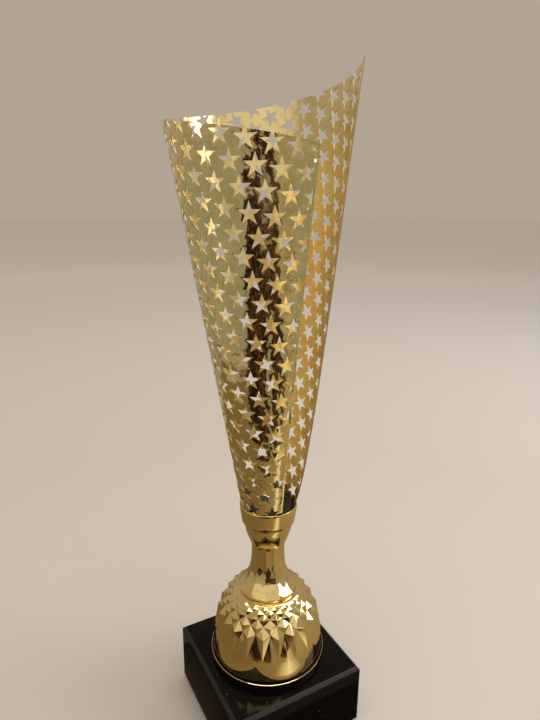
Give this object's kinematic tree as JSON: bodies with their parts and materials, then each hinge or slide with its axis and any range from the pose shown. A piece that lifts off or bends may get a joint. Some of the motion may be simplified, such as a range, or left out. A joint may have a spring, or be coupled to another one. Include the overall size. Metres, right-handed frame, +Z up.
{
  "type": "column trophy",
  "caption": "Column trophy: black stone plinth, studded gold dome foot, fluted stem and a tall rolled sheet cup with a slanting rim, clamped on one rod.",
  "frame": {"origin": "middle of the base pad's underside, on the tie rod's axis", "axes": "+Z up along the tie rod, X and Y square to the plinth's sides; the cup's open seam faces between -Y and +X"},
  "size_m": [0.0908, 0.0887, 0.3614],
  "materials": {
    "black_stone": "polished black stone, mirror-smooth, with fine dust",
    "pad_foam": "matt black closed-cell foam",
    "gold_moulding": "mirror-bright metallised gold on moulded plastic",
    "gold_sheet": "mirror-bright pale gold anodised sheet, punched with stars",
    "black_plastic": "moulded black plastic, satin",
    "zinc_hardware": "bright zinc plate"
  },
  "bodies": {
    "root": {"plinth_block": "black_stone", "base_pad": "pad_foam", "foot_dome": "gold_moulding", "fluted_stem": "gold_moulding", "neck_ring": "gold_moulding", "cup_collar": "gold_moulding", "cup_sheet": "gold_sheet", "clamp_plug": "black_plastic", "top_washer": "zinc_hardware", "top_nut": "zinc_hardware", "base_washer": "zinc_hardware", "base_nut": "zinc_hardware", "tie_rod": "zinc_hardware"}
  },
  "joints": []
}
